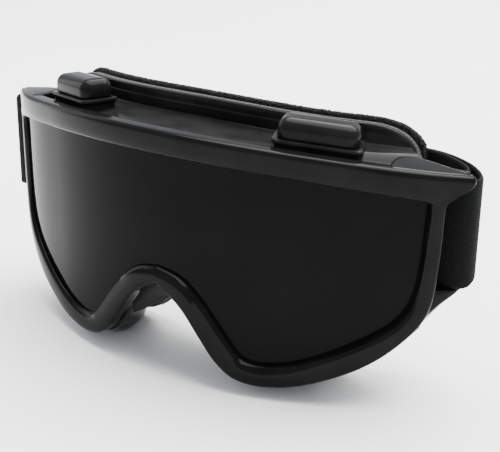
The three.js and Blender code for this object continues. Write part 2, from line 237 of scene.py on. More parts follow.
# ---- outlines: right-hand halves from the bottom middle up, (s or x, z) ----
OPENING_LOWER = [(0, 4.2), (9, 2), (17, -5), (26.5, -17), (31, -21.5), (38.5, -22.4),
                 (50, -20), (64, -13.8), (78, -5), (83.8, 6), (OPENING_SIDE, 30)]
OPENING_CORNER = 5.5
OPENING_CORNER_LOW = 33.2
ARCH_INSET = 0.5  # each arch starts this far inside the end of its corner
FRAME_LOWER = [(0, -1.2), (9, -7), (17, -17.2), (22, -23.6), (28.5, -28.2), (38, -29.3),
               (51, -27), (67, -20.3), (79, -11.5), (87.2, -1), (89.6, 14), (90.2, 30)]
WING_UNDER = [(90.2, 30), (90.4, 33.4), (91.6, 35.1), (94.2, 36.6), (97.6, 38.2)]
WING_TIP = (99.8, 39.6)
WING_TOP_END = 98.2

# Each outline is cut at three places, its lowest point, the top of its side and its top corner, so that
# the same stretches of two outlines face each other. These are the points on each of the four stretches.
RIM_COUNTS = (44, 66, 24, 96)
BODY_COUNTS = (44, 64, 16, 64)
OPENING_CUTS = [(36, -22.6), (85.6, 24), (84.6, 33.5)]
FRAME_CUTS = [(36, -29.4), (90.1, 26), (98.8, 40.4)]


def opening_half():
    """The window in the rim."""
    lower = catmull(OPENING_LOWER, count=160)
    corner_x = OPENING_SIDE - OPENING_CORNER
    corner = rounded((OPENING_SIDE, OPENING_CORNER_LOW), (OPENING_SIDE, arch(OPENING_CROWN, OPENING_SIDE)),
                     (corner_x, arch(OPENING_CROWN, corner_x)))
    return np.concatenate([lower, corner, arch_line(OPENING_CROWN, corner_x - ARCH_INSET)])


def frame_half():
    """The rim's outside, with the wing. The lip's arch is measured straight across, so its s becomes x."""
    lower = catmull(FRAME_LOWER, count=180)
    under = catmull(WING_UNDER, count=40)[1:]
    line = arch_line(LIP_CROWN, WING_TOP_END, steps=90)
    line[:, 1] = arch(LIP_CROWN, FRONT_RADIUS * np.sin(line[:, 0] / FRONT_RADIUS))
    tip = rounded(WING_UNDER[-1], WING_TIP, line[0])[1:-1]
    return np.concatenate([lower, under, tip, line])


def lobed_loop(nose, cheek, crown, corner, radius, cuts):
    """Closed outline of nose arch, two cheek lobes, upright sides, round top corners and an arched top."""
    lower = np.concatenate([catmull(nose, count=60), catmull(cheek, count=120)])
    side = lower[-1][0]
    top = arch(crown, side, radius)
    shoulder = (side - corner, arch(crown, side - corner, radius))
    bend = rounded((side, top - corner), (side, top), shoulder)
    half = np.concatenate([lower, bend, arch_line(crown, side - corner - ARCH_INSET, radius)])
    return both_sides(split_even(half, cuts, BODY_COUNTS))


opening_loop = both_sides(split_even(opening_half(), OPENING_CUTS, RIM_COUNTS))
frame_loop = both_sides(split_even(frame_half(), FRAME_CUTS, RIM_COUNTS))
seat_loop = both_sides(split_even(opening_half(), OPENING_CUTS, BODY_COUNTS))
body_loop = lobed_loop(
    nose=[(0, -0.6), (8.4, -6.2), (15, -14.6), (17, -20), (19.6, -25.6), (24, -30.2), (29.5, -33)],
    cheek=[(38.5, -33), (44, -31.6), (50, -28.4), (57.5, -23), (69, -15.5), (77, -8), (80, 2),
           (BODY_SIDE, 30)],
    crown=ROOF_CROWN, corner=5, radius=ARCH_RADIUS, cuts=[(34, -33), (BODY_SIDE, 28), (78, 40)])
rear_loop = lobed_loop(
    nose=[(0, -1.8), (7.5, -5.2), (15.6, -13.6), (21.6, -20.6), (26.4, -26.4), (31.5, -29.6)],
    cheek=[(38.5, -29.8), (44, -28.6), (50, -26), (57.5, -21.4), (69, -14.5), (77, -7.5), (80, 2),
           (BODY_SIDE, 30)],
    crown=ROOF_CROWN, corner=2.4, radius=REAR_ARCH_RADIUS, cuts=[(34, -29.7), (BODY_SIDE, 28), (78, 40)])
flange_loop = lobed_loop(
    nose=[(0, -3), (8, -6), (16, -14), (21.8, -21.4), (26.6, -27), (31, -29.8)],
    cheek=[(39, -30), (48, -27.6), (58, -20.6), (65, -9.4), (67.6, 4), (68, 24)],
    crown=FLANGE_CROWN - 0.7, corner=15, radius=FLANGE_ARCH_RADIUS, cuts=[(34, -29.9), (68, 24), (62.5, 49)])
cushion_loop = lobed_loop(
    nose=[(0, -6), (8, -9), (14.6, -16.6), (18.6, -22.8), (22.4, -26.6), (26.6, -28.8), (31, -29.6)],
    cheek=[(39, -29.4), (48, -27), (57.4, -20), (64.4, -9.2), (67, 4), (67.4, 24)],
    crown=FLANGE_CROWN - 1.3, corner=15, radius=FLANGE_ARCH_RADIUS,
    cuts=[(34, -29.6), (67.4, 24), (62, 48.6)])
cushion_inner_loop = lobed_loop(
    nose=[(0, 4), (9, 1), (16, -6), (24, -17), (29.5, -22.6), (34, -24)],
    cheek=[(38, -24), (45.5, -21.5), (52, -14), (56, -3), (57.8, 10), (58.2, 24)],
    crown=FLANGE_CROWN - 10, corner=8, radius=FLANGE_ARCH_RADIUS, cuts=[(36, -24), (58.2, 22), (56, 39)])


# ---- meshes ----
def add_object(name, mesh, sharp_angle):
    """Object in the scene, smooth shaded except over edges sharper than sharp_angle degrees."""
    obj = bpy.data.objects.new(name, mesh)
    bpy.context.scene.collection.objects.link(obj)
    mesh.shade_smooth()
    mesh.set_sharp_from_angle(angle=math.radians(sharp_angle))
    return obj


def mesh_object(name, vertices, faces):
    """Object from scene metres, with its normals turned outwards."""
    mesh = bpy.data.meshes.new(name)
    mesh.from_pydata([tuple(v) for v in vertices], [], [tuple(f) for f in faces])
    mesh.validate()
    shell = bmesh.new()
    shell.from_mesh(mesh)
    bmesh.ops.recalc_face_normals(shell, faces=shell.faces)
    shell.to_mesh(mesh)
    shell.free()
    return add_object(name, mesh, sharp_angle=42)


def loft(name, rows, closed_rows=True):
    """Skin over closed rings of points in goggles millimetres. The last ring joins the first, or both are
    filled with a face."""
    grid = np.array(rows, float)
    count, around = grid.shape[:2]
    faces = []
    for i in range(count if closed_rows else count - 1):
        following = (i + 1) % count
        for j in range(around):
            k = (j + 1) % around
            faces.append((i * around + j, i * around + k, following * around + k, following * around + j))
    if not closed_rows:
        faces.append(tuple(range(around)))
        faces.append(tuple((count - 1) * around + j for j in reversed(range(around))))
    return mesh_object(name, world(grid.reshape(-1, 3)), faces)


def folded(name, rows):
    """Slab from rows that go over its one face and back over the other, with its two ends filled."""
    grid = np.array(rows)
    count, along = grid.shape[:2]
    faces = []
    for i in range(count):
        following = (i + 1) % count
        for j in range(along - 1):
            faces.append((i * along + j, i * along + j + 1, following * along + j + 1, following * along + j))
    for j in (0, along - 1):
        for i in range(count // 2 - 1):
            mirror = count - 1 - i
            faces.append((i * along + j, (i + 1) * along + j, (mirror - 1) * along + j, mirror * along + j))
    return mesh_object(name, world(grid.reshape(-1, 3)), faces)


def soft_block(name, low, high, bevel, matrix=Matrix.Identity(4)):
    """Box with rounded edges, in goggles millimetres after matrix."""
    shell = bmesh.new()
    bmesh.ops.create_cube(shell, size=1.0)
    low, high = np.array(low, float), np.array(high, float)
    for v in shell.verts:
        v.co = Vector((low + (np.array(v.co) + 0.5) * (high - low)).tolist())
    bmesh.ops.bevel(shell, geom=shell.edges[:], offset=bevel, segments=3, affect="EDGES", profile=0.6)
    for v in shell.verts:
        v.co = Vector(world(matrix @ v.co).tolist())
    mesh = bpy.data.meshes.new(name)
    shell.to_mesh(mesh)
    shell.free()
    return add_object(name, mesh, sharp_angle=50)


def join(name, parts):
    """One object out of several."""
    bpy.ops.object.select_all(action="DESELECT")
    for part in parts:
        part.select_set(True)
    bpy.context.view_layer.objects.active = parts[0]
    bpy.ops.object.join()
    joined = bpy.context.view_layer.objects.active
    joined.name = name
    return joined


# ---- material nodes ----
def new_material(name):
    """Material, its node tree and its shader."""
    material = bpy.data.materials.new(name)
    material.use_nodes = True
    tree = material.node_tree
    return material, tree, tree.nodes["Principled BSDF"]


def node(tree, kind, **inputs):
    """Node with some of its sockets set; an underscore stands for a space."""
    made = tree.nodes.new(kind)
    for key, value in inputs.items():
        made.inputs[key.replace("_", " ")].default_value = value
    return made


def object_place(tree, **mapping):
    """Object coordinates, turned or stretched when asked."""
    place = tree.nodes.new("ShaderNodeTexCoord").outputs["Object"]
    if not mapping:
        return place
    moved = node(tree, "ShaderNodeMapping", **mapping)
    tree.links.new(place, moved.inputs["Vector"])
    return moved.outputs["Vector"]


def noise(tree, scale, detail, **mapping):
    """Object-space noise, 0 to 1. mapping turns or stretches it, as in object_place."""
    texture = node(tree, "ShaderNodeTexNoise", Scale=scale, Detail=detail)
    tree.links.new(object_place(tree, **mapping), texture.inputs["Vector"])
    return texture.outputs["Fac"]


def ramp(tree, source, low, high, at=(0.35, 0.65)):
    """Colour that turns from low to high as the source goes between the two places in at."""
    made = tree.nodes.new("ShaderNodeValToRGB")
    for element, place, colour in zip(made.color_ramp.elements, at, (low, high)):
        element.position = place
        element.color = (*colour, 1.0)
    tree.links.new(source, made.inputs["Fac"])
    return made.outputs["Color"]


def spread(tree, source, low, high):
    """The source's 0 to 1 as low to high."""
    made = node(tree, "ShaderNodeMapRange", To_Min=low, To_Max=high)
    tree.links.new(source, made.inputs["Value"])
    return made.outputs["Result"]


def product(tree, a, b):
    """Two values multiplied."""
    made = tree.nodes.new("ShaderNodeMath")
    made.operation = "MULTIPLY"
    tree.links.new(a, made.inputs[0])
    tree.links.new(b, made.inputs[1])
    return made.outputs["Value"]


def bump(tree, shader, height, strength, distance):
    """Surface relief from a height."""
    made = node(tree, "ShaderNodeBump", Strength=strength, Distance=distance)
    tree.links.new(height, made.inputs["Height"])
    tree.links.new(made.outputs["Normal"], shader.inputs["Normal"])


def surface(tree, shader, colour, **inputs):
    """Linked base colour, and the shader's sockets that are the same all over."""
    tree.links.new(colour, shader.inputs["Base Color"])
    for key, value in inputs.items():
        shader.inputs[key.replace("_", " ")].default_value = value


# ---- materials ----
def moulded_plastic(name, shade, rough, ripple, specular, grain=2600.0):
    """Injection-moulded plastic: faint flow ripples, rubbed patches and fine dust in the gloss."""
    material, tree, shader = new_material(name)
    low, high = shade * 0.8, shade * 1.3
    colour = ramp(tree, noise(tree, scale=90.0, detail=4.0), (low, low, low), (high, high, high * 1.02))
    surface(tree, shader, colour, Specular_IOR_Level=specular)
    haze = noise(tree, scale=260.0, detail=5.0, Scale=(1.0, 1.0, 0.35))
    tree.links.new(spread(tree, haze, rough * 0.7, rough * 1.4), shader.inputs["Roughness"])
    bump(tree, shader, noise(tree, scale=grain, detail=2.0), strength=ripple, distance=0.00004)
    return material


def dark_lens(name):
    """Smoked polycarbonate: near-black, glossy, a trace of hair scratches."""
    material, tree, shader = new_material(name)
    clouds = noise(tree, scale=22.0, detail=2.0)
    colour = ramp(tree, clouds, (0.0024, 0.0025, 0.0024), (0.0037, 0.0038, 0.0036))
    surface(tree, shader, colour, Specular_IOR_Level=0.03)
    scratches = noise(tree, scale=900.0, detail=2.0, Scale=(0.08, 0.3, 1.0))
    tree.links.new(spread(tree, scratches, 0.02, 0.09), shader.inputs["Roughness"])
    return material


def pile_fabric(name):
    """Short flock: green-black, matt, with fuzz that catches the light."""
    material, tree, shader = new_material(name)
    fibres = noise(tree, scale=1900.0, detail=4.0)
    colour = ramp(tree, fibres, (0.002, 0.0022, 0.002), (0.011, 0.012, 0.0105), at=(0.32, 0.74))
    surface(tree, shader, colour, Roughness=1.0, Specular_IOR_Level=0.12, Sheen_Weight=0.05,
            Sheen_Roughness=0.5, Sheen_Tint=(0.8, 0.84, 0.78, 1.0))
    bump(tree, shader, fibres, strength=0.9, distance=0.0004)
    return material


def open_foam(name):
    """Open-cell foam edge: painted shade darkens the cell hollows against paler ribs."""
    material, tree, shader = new_material(name)
    cells = node(tree, "ShaderNodeTexVoronoi", Scale=1500.0)
    tree.links.new(object_place(tree), cells.inputs["Vector"])
    depth = cells.outputs["Distance"]
    # painted shade: the hollow middle of each cell is coloured darker, the ribs between keep the paler tone
    colour = ramp(tree, depth, (0.006, 0.006, 0.006), (0.05, 0.05, 0.047), at=(0.1, 0.6))
    surface(tree, shader, colour, Roughness=0.95)
    bump(tree, shader, depth, strength=0.8, distance=0.0004)
    return material


def elastic_webbing(name):
    """Woven elastic: a diagonal twill broken up by threads."""
    material, tree, shader = new_material(name)
    diagonal = math.radians(28)
    twill = node(tree, "ShaderNodeTexWave", Scale=520.0, Distortion=0.6, Detail=2.0, Detail_Scale=3.0)
    twill.bands_direction = "Z"
    tree.links.new(object_place(tree, Rotation=(diagonal, diagonal, 0.0)), twill.inputs["Vector"])
    threads = noise(tree, scale=2400.0, detail=3.0, Scale=(1.0, 1.0, 0.4))
    weave = product(tree, twill.outputs["Fac"], threads)
    colour = ramp(tree, weave, (0.0012, 0.0014, 0.0013), (0.006, 0.0065, 0.006), at=(0.12, 0.6))
    surface(tree, shader, colour, Roughness=0.85, Specular_IOR_Level=0.12)
    bump(tree, shader, weave, strength=0.7, distance=0.0003)
    return material


def floor_paper(name):
    """Pale matt studio floor."""
    material, tree, shader = new_material(name)
    colour = ramp(tree, noise(tree, scale=3.0, detail=2.0), (0.9, 0.9, 0.9), (0.93, 0.93, 0.93))
    surface(tree, shader, colour, Roughness=0.9)
    return material


gloss_black = moulded_plastic("gloss_black", shade=0.004, rough=0.12, ripple=0.06, specular=0.055)
# The body's copy of the black plastic has a lighter base tone than gloss_black: painted light that brightens
# its walls, roof and vent collars.
body_black_painted_light = moulded_plastic("body_black_painted_light", shade=0.010, rough=0.12, ripple=0.06, specular=0.035)
satin_black = moulded_plastic("satin_black", shade=0.006, rough=0.16, ripple=0.08, specular=0.05,
                              grain=3600.0)
inner_black = moulded_plastic("inner_black", shade=0.008, rough=0.45, ripple=0.3, specular=0.3)
lens_dark = dark_lens("lens_dark")
pile = pile_fabric("pile")
foam_cells = open_foam("foam_cells")
webbing_black = elastic_webbing("webbing_black")


def dress(obj, material):
    """Material of a piece."""
    obj.data.materials.clear()
    obj.data.materials.append(material)


# ---- front frame ----
WALL_REACH = ((84.0, FRAME_DEPTH), (92.0, 5.0), (99.0, 3.0))  # (s, depth): the outer wall thins to the tips
SEAT_GAP = 0.25
LIP_FROM, LIP_TO = 38.0, 40.5
NOSE_MIDDLE, NOSE_END = 24.0, 62.0
NOSE_LOW, NOSE_HIGH = 12.0, 30.0
LIP_SOFTER = 1.3  # the lip's outer roll grows by this share towards the wings
LIP_SOFT_FROM, LIP_SOFT_FULL = 58.0, 76.0
# The rim's section: (reach from the window, depth, share of the nose's sink),
INNER_ROLL = ((0.0, 0.5, 1.0), (0.06, 0.28, 1.0), (0.2, 0.05, 0.94),
              (0.45, -0.2, 0.8), (0.8, -0.44, 0.56), (1.25, -0.62, 0.3))
# (share of the width, depth, share of the sink),
RIM_FACE = ((0.38, -0.74, 0.12), (0.5, -0.8, 0.02), (0.62, -0.8, 0.0), (0.74, -0.78, 0.0))
# (in from the outer edge, depth), and (in from the outer edge, short of the back).
OUTER_ROLL = ((1.1, -0.74), (0.7, -0.6), (0.35, -0.32), (0.12, 0.05), (0.02, 0.45))
BACK_ROLL = ((0.0, 0.5), (0.08, 0.2), (0.35, 0.0))
OUTER_WALL = 0.9
SEAT_WIDTH = 2.9
BACK_WIDTH = 0.6
SEAT_CHAMFER = (0.1, 0.15)


def rim_section(width, seat, sink, deep, soft):
    """(reach from the window, depth) of each line along the rim: pane seat, inner roll, face, outer roll,
    outer wall and back."""
    lines = [(0.0, seat), (0.0, (seat + sink + INNER_ROLL[0][1]) / 2)]
    lines += [(reach, depth + sink * share) for reach, depth, share in INNER_ROLL]
    lines += [(width * part, depth + sink * share) for part, depth, share in RIM_FACE]
    lines += [(width - back * soft, depth) for back, depth in OUTER_ROLL]
    lines += [(width, OUTER_WALL), (width, (OUTER_WALL + deep) / 2)]
    lines += [(width - back, deep - short) for back, short in BACK_ROLL]
    behind = np.minimum(width - BACK_WIDTH, SEAT_WIDTH)
    step, short = SEAT_CHAMFER
    return lines + [(behind, deep), (behind - step, deep - short), (behind - step, seat)]


def rim_moulding():
    """Rim round the lens, with the raised lip and the front of the wings."""
    inner, outer = opening_loop, frame_loop
    width = np.linalg.norm(outer - inner, axis=1)
    across = (outer - inner) / width[:, None]
    lip = smoothstep(outer[:, 1], LIP_FROM, LIP_TO)
    deep = np.minimum(np.interp(np.abs(outer[:, 0]), *zip(*WALL_REACH)), FRAME_DEPTH - lip)
    seat = pane_depth(inner[:, 0]) - SEAT_GAP
    nose = 1.0 - smoothstep(np.abs(inner[:, 0]), NOSE_MIDDLE, NOSE_END)
    sink = NOSE_SINK * nose * (1.0 - smoothstep(inner[:, 1], NOSE_LOW, NOSE_HIGH))
    soft = 1.0 + LIP_SOFTER * lip * smoothstep(np.abs(outer[:, 0]), LIP_SOFT_FROM, LIP_SOFT_FULL)
    rows = []
    for reach, depth in rim_section(width, seat, sink, deep, soft):
        place = inner + across * np.broadcast_to(reach, width.shape)[:, None]
        rows.append(front_point(place[:, 0], place[:, 1], depth))
    return loft("rim_moulding", rows)


PLATE_OUTLINE = [(67.0, 26.0), (69.2, 21.4), (74, 23.9), (80, 28.4), (85.4, 33.4), (88.2, 36.6),
                 (87.4, 38.0), (83.4, 37.6), (78.6, 37.2), (73.6, 36.6), (68.4, 34.6), (66.4, 31.0)]
PLATE_UNDER = ((1.4, -2.6), (0.5, -2.55), (0.12, -2.3), (0.0, -1.9))  # (inset, height over the lip's arch)
PLATE_OVER = ((0.0, -0.7), (0.12, -0.32), (0.4, -0.02), (0.9, 0.12), (1.7, 0.18))


def wing_plate(side):
    """Flat top of a wing: a plate over the strap bar, rounded at its inner end."""
    loop = even(catmull(PLATE_OUTLINE + PLATE_OUTLINE[:1], count=200), count=150)[:-1]
    rows = []
    for section, lowest in ((PLATE_UNDER, STRAP_TOP + STRAP_GAP), (PLATE_OVER, 0.0)):
        for inset, height in section:
            ring = offset_closed(loop, -inset)
            z = np.maximum(arch(LIP_CROWN, ring[:, 0]) + height, lowest)
            rows.append(np.stack([side * ring[:, 0], ring[:, 1], z], axis=1))
    return loft("plate", rows, closed_rows=False)


BAR_INNER, BAR_OUTER, BAR_REAR = 79.0, 85.6, 40.8
BAR = (38.4, 4.2, 40.9)  # (front, low, high)
BAR_HEAD = (35.0, STRAP_TOP + STRAP_GAP, 41.3)
BAR_BEVEL = 0.45


def side_bar(side):
    """Bar that the webbing turns round, from the wing down to the gusset."""
    blocks = []
    for front, low, high in (BAR, BAR_HEAD):
        corners = np.array([(side * BAR_INNER, front, low), (side * BAR_OUTER, BAR_REAR, high)])
        blocks.append(soft_block("bar", corners.min(axis=0), corners.max(axis=0), BAR_BEVEL))
    return join("bar", blocks)


# The gusset's lower edge as (x, z), and its front and rear as (x, y)
GUSSET_LOW = [(74.5, -10.0), (76.5, -7.4), (79, -3.9), (82.2, 0.4), (84.2, 2.5), (85.4, 3.8), (85.8, 4.6)]
GUSSET_FRONT = [(74.5, 29.0), (81, 31.4), (84.4, 35.0), (85.8, 37.4)]
GUSSET_REAR = [(74.5, 36.4), (77.6, 38.2), (79.5, BAR_REAR)]
GUSSET_HIGH = STRAP_LOW - 0.25
GUSSET_POINTS = 28


def gusset(side):
    """Web that carries the foot of the strap bar out of the rim's lower corner."""
    rows = []
    for x, low in GUSSET_LOW:
        front = float(np.interp(x, *zip(*GUSSET_FRONT)))
        rear = float(np.interp(x, *zip(*GUSSET_REAR)))
        ring = []
        for k in range(GUSSET_POINTS):
            angle = 2 * math.pi * k / GUSSET_POINTS
            y = (front + rear) / 2 + (rear - front) / 2 * squared(math.cos(angle), 0.4)
            z = (low + GUSSET_HIGH) / 2 + (GUSSET_HIGH - low) / 2 * squared(math.sin(angle), 0.3)
            ring.append((side * x, y, z))
        rows.append(ring)
    return loft("gusset", rows, closed_rows=False)


def front_frame():
    """The whole front moulding."""
    parts = [rim_moulding()]
    for side in (-1, 1):
        parts += [wing_plate(side), side_bar(side), gusset(side)]
    piece = join("rim_moulding", parts)
    dress(piece, gloss_black)
    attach(piece, "frame")
    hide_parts("front_frame")


# ---- lens ----
PANE_OVERLAP = 2.3
PANE_TRIM = 0.9995  # keeps the last line of the pane just inside its outline
PANE_LINES = 60
PANE_STEPS = 26


def height_at(line, s):
    """Height of half an outline at s. The tiny slope keeps its places rising where it stands upright."""
    rising = np.maximum.accumulate(line[:, 0]) + np.arange(len(line)) * 1e-6
    return np.interp(s, rising, line[:, 1])


def lens_pane():
    """Curved dark pane, from its lower edge to its upper and back."""
    loop = offset_closed(opening_loop, PANE_OVERLAP)
    right = loop[:len(loop) // 2 + 1]
    widest = np.argmax(right[:, 0])
    half = right[widest, 0] * np.sin(np.linspace(0.0, 1.0, PANE_LINES) * math.pi / 2) * PANE_TRIM
    low = height_at(right[:widest + 1], half)
    high = height_at(right[widest:][::-1], half)
    s, low, high = np.r_[-half[:0:-1], half], np.r_[low[:0:-1], low], np.r_[high[:0:-1], high]
    shares = np.linspace(0.0, 1.0, PANE_STEPS + 1)
    rows = [front_point(s, mixed(low, high, t), pane_depth(s)) for t in shares]
    rows += [front_point(s, mixed(low, high, t), pane_depth(s) + LENS_THICKNESS) for t in shares[::-1]]
    piece = folded("lens_pane", rows)
    dress(piece, lens_dark)
    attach(piece, "frame")
    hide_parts("lens")


# ---- face body ----
SEAT_THICKNESS = 2.4
WALL_SHARES = (0.012, 0.04, 0.15, 0.3, 0.45, 0.6, 0.75, 0.86, 0.93)
SEAT_CORNER = 0.94  # share of the way out from the seat to the wall where the corner starts
UNDER_CHEEKS = (20.0, 27.0)  # below the nose arch by this much, the outline turns late into rear_loop
TURN_ABOVE, TURN_UNDER = (0.1, 0.55), (0.5, 1.0)  # (start, end) of that turn, in shares of the way back
FLOOR_ZONE = (20.0, 30.0)
FLOOR_END = 0.35
ROOT = 0.985  # share of the way back where the wall runs out into the flange
ROOT_LIFT = 0.9
ROOT_FILLET = ((0.965, 0.15), (ROOT, 0.5))  # (share, lift)
LEDGE = ((0.16, 0.16), (0.42, 0.2), (0.48, 0.19), (0.5, 0.14), (0.52, 0.01))  # (share to the edge, forward)
LEDGE_FULL, LEDGE_NONE = 36.0, 54.0
FLANGE_SHARES = (0.56, 0.76)
INSIDE_SHARES = (0.92, 0.6, 0.3)
FLANGE_EDGE = ((0.55, 0.0), (0.15, 0.2), (0.0, 0.6), (0.0, FLANGE_THICKNESS - 0.5), (0.2, FLANGE_THICKNESS))


def narrowed(x, share):
    """Side walls lean in from the frame to the face flange."""
    side = np.abs(x)
    lean = (BODY_SIDE_REAR - WALL_LEAN_FROM) / (BODY_SIDE - WALL_LEAN_FROM)
    rear = np.where(side > WALL_LEAN_FROM, WALL_LEAN_FROM + (side - WALL_LEAN_FROM) * lean, side)
    return np.sign(x) * mixed(np.minimum(side, BODY_SIDE_FRONT), rear, share)


def wall_row(share, lift=0.0):
    """Line round the body's wall, share 0 at the lens seat and 1 at the flange, lifted outwards. Its outline
    turns from body_loop into rear_loop, later under the cheeks than elsewhere."""
    under = smoothstep(-body_loop[:, 1], *UNDER_CHEEKS)
    start, end = (mixed(above, below, under) for above, below in zip(TURN_ABOVE, TURN_UNDER))
    rearward = smoothstep(share, start, end)[:, None]
    out = offset_closed(mixed(body_loop, rear_loop, rearward), lift)
    out[:, 1] += FLOOR_RISE * (1.0 - smoothstep(share, 0.0, FLOOR_END)) * smoothstep(-out[:, 1], *FLOOR_ZONE)
    s_front = FRONT_RADIUS * np.arcsin(narrowed(out[:, 0], 0.0) / (FRONT_RADIUS - BODY_FRONT))
    y_front = front_point(s_front, 0, BODY_FRONT)[:, 1]
    y_rear = face_y(narrowed(out[:, 0], 1.0))
    return np.stack([narrowed(out[:, 0], share), mixed(y_front, y_rear, share), out[:, 1]], axis=1)


def flange_row(inset, shift):
    """Line round the flange, inset from its edge and shifted back from its front face."""
    out = offset_closed(flange_loop, -inset)
    return np.stack([out[:, 0], face_y(out[:, 0]) + shift, out[:, 1]], axis=1)


def flange_rows():
    """From the wall's root over the flange's front, with its low ledge, round the edge to the back."""
    root = wall_row(ROOT, ROOT_LIFT)
    edge = flange_row(0.0, 0.0)
    fade = 1.0 - smoothstep(np.abs(edge[:, 0]), LEDGE_FULL, LEDGE_NONE)
    rows = []
    for share, forward in LEDGE:
        ledge = mixed(root, edge, share)
        ledge[:, 1] -= forward * fade
        rows.append(ledge)
    rows += [mixed(root, edge, share) for share in FLANGE_SHARES]
    rows += [flange_row(inset, shift) for inset, shift in FLANGE_EDGE]
    return rows


def inside_rows(rear, seat_back):
    """From the flange's back edge inwards and forward along the inside of the wall."""
    inner_rear = wall_row(1.0, -WALL)
    inner_rear[:, 1] = face_y(inner_rear[:, 0]) + FLANGE_THICKNESS
    rows = [mixed(rear, inner_rear, 0.5), inner_rear]
    rows += [wall_row(share, -WALL) for share in INSIDE_SHARES]
    rows.append(mixed(wall_row(0.18, -WALL), seat_back, 0.15))
    return rows


def face_shell():
    """Roof, floor, side walls and face flange in one skin, from the back of the lens seat round to it."""
    seat, seat_back = (front_point(seat_loop[:, 0], seat_loop[:, 1], depth)
                       for depth in (BODY_FRONT, BODY_FRONT + SEAT_THICKNESS))
    rows = [seat_back, seat, mixed(seat, wall_row(0.0), SEAT_CORNER)]
    rows += [wall_row(share) for share in WALL_SHARES]
    rows += [wall_row(share, lift) for share, lift in ROOT_FILLET]
    rows += flange_rows()
    rows += inside_rows(rows[-1], seat_back)
    piece = loft("face_shell", rows)
    dress(piece, body_black_painted_light)
    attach(piece, "frame")
    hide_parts("face_body")


# ---- face cushion ----
CUSHION_NEAR = FLANGE_THICKNESS + 0.1
CUSHION_SIDE = 66.9
FOAM_THICKNESS = 4.4
FACING_FROM, FACING_TO = 2.6, 5.9
FACING_OVERHANG = 0.35
FACING_TOP = 0.9  # the facing stands this much further out along the top
FACING_INNER = 0.2
NOSE_PAD_FRONT = -20.0  # the facing reaches this far forward of the flange beside the nose
STRETCH_CALM = 0.45  # fuzz is this much weaker where the facing is stretched over the nose wall
NOSE_PAD_SIDE = (21.0, 27.0)  # the pad fades out between these, beside the nose,
NOSE_PAD_LOW = (-23.0, -20.0)  # in height at its foot,
NOSE_PAD_TOP = (-2.0, 6.0)  # and in height at its top
TOP_EDGE = (20.0, 40.0)


def nose_weight(place):
    """How much of the nose pad a point of the cushion carries: it wraps the nose wall up to its top."""
    beside = 1.0 - smoothstep(np.abs(place[:, 0]), *NOSE_PAD_SIDE)
    return beside * smoothstep(place[:, 1], *NOSE_PAD_LOW) * (1.0 - smoothstep(place[:, 1], *NOSE_PAD_TOP))


def ring_cushion(name, outer, inner, near, far, crown, rows_across, fuzz, wrap):
    """Soft ring on the flange between two depths, crowned on its free edges. wrap is how far the nose pad
    reaches forward: 0 leaves the ring plain, 1 takes it to NOSE_PAD_FRONT."""
    rows = []
    calm = []
    count = 2 * rows_across
    for k in range(count):
        angle = 2 * math.pi * k / count
        share = 0.5 + 0.5 * squared(math.cos(angle), crown)
        place = mixed(inner, outer, share)
        reach = wrap * nose_weight(place)
        front = mixed(near, NOSE_PAD_FRONT, reach)
        depth = (front + far) / 2 + (far - front) / 2 * squared(math.sin(angle), crown)
        x = np.clip(place[:, 0], -CUSHION_SIDE, CUSHION_SIDE)
        rows.append(np.stack([x, face_y(x) + depth, place[:, 1]], axis=1))
        calm.append(1.0 - STRETCH_CALM * reach)
    grid = np.array(rows)
    grid += noise_rng.normal(0.0, fuzz, grid.shape) * np.array(calm)[:, :, None]
    return loft(name, grid)


def finer(loop, guide, factor=4):
    """A closed outline with factor times its points, spaced as on the guide outline."""
    closed_guide = np.vstack([guide, guide[:1]])
    closed = np.vstack([loop, loop[:1]])
    length = travelled(closed_guide)
    at = np.linspace(0.0, length[-1], factor * len(guide) + 1)[:-1]
    index = np.arange(len(closed))
    base = np.interp(at, length, index)
    return np.stack([np.interp(base, index, closed[:, k]) for k in range(2)], axis=1)


def face_foam(outer, inner):
    """Foam ring on the flange."""
    foam = ring_cushion("foam_ring", outer, inner, CUSHION_NEAR, CUSHION_NEAR + FOAM_THICKNESS,
                        crown=0.34, rows_across=12, fuzz=0.03, wrap=0.0)
    dress(foam, foam_cells)
    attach(foam, "frame")
    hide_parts("face_foam")


def face_fleece(outer, inner):
    """Fuzzy facing over the foam, wrapped round the nose wall."""
    over = smoothstep(outer[:, 1], *TOP_EDGE)[:, None]
    top = offset_closed(outer, FACING_OVERHANG + FACING_TOP * over)
    outward = (outer - inner) / np.linalg.norm(outer - inner, axis=1)[:, None]
    fleece = ring_cushion("fleece_facing", top, inner - outward * FACING_INNER,
                          CUSHION_NEAR + FACING_FROM, CUSHION_NEAR + FACING_TO,
                          crown=0.5, rows_across=20, fuzz=0.11, wrap=1.0)
    dress(fleece, pile)
    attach(fleece, "frame")
    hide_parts("face_fabric")


def face_cushion():
    """Foam and its facing on the same two outlines."""
    outer = finer(cushion_loop, cushion_loop)
    inner = finer(cushion_inner_loop, cushion_loop)
    face_foam(outer, inner)
    face_fleece(outer, inner)


# ---- roof vents ----
VENT_X = 45.5
VENT_Y = 21.4
VENT_CROWN = 50.6
VENT_TURN = 23.9
CAP_LENGTH, CAP_DEPTH, CAP_CORNER = 24.6, 11.2, 3.6
CAP_TOP_CORNER = 0.25
